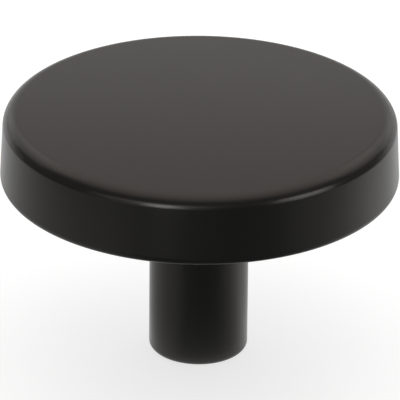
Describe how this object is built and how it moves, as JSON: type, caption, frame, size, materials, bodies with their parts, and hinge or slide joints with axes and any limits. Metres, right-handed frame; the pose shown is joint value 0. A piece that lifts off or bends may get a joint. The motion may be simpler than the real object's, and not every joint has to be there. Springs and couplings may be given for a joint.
{
  "type": "cabinet knob",
  "caption": "Round cabinet knob: a flat disc head with rounded edges on a straight round stem, held by a screw from behind in a tapped hole in its foot.",
  "frame": {"origin": "centre of the foot's face, where the knob meets the door or drawer front", "axes": "+Z along the stem, away from the door, through the middle of the head; X and Y are free, because the knob is round"},
  "size_m": [0.038, 0.038, 0.0248],
  "materials": {
    "black_coat": "satin"
  },
  "bodies": {
    "root": {"knob": "black_coat"}
  },
  "joints": []
}
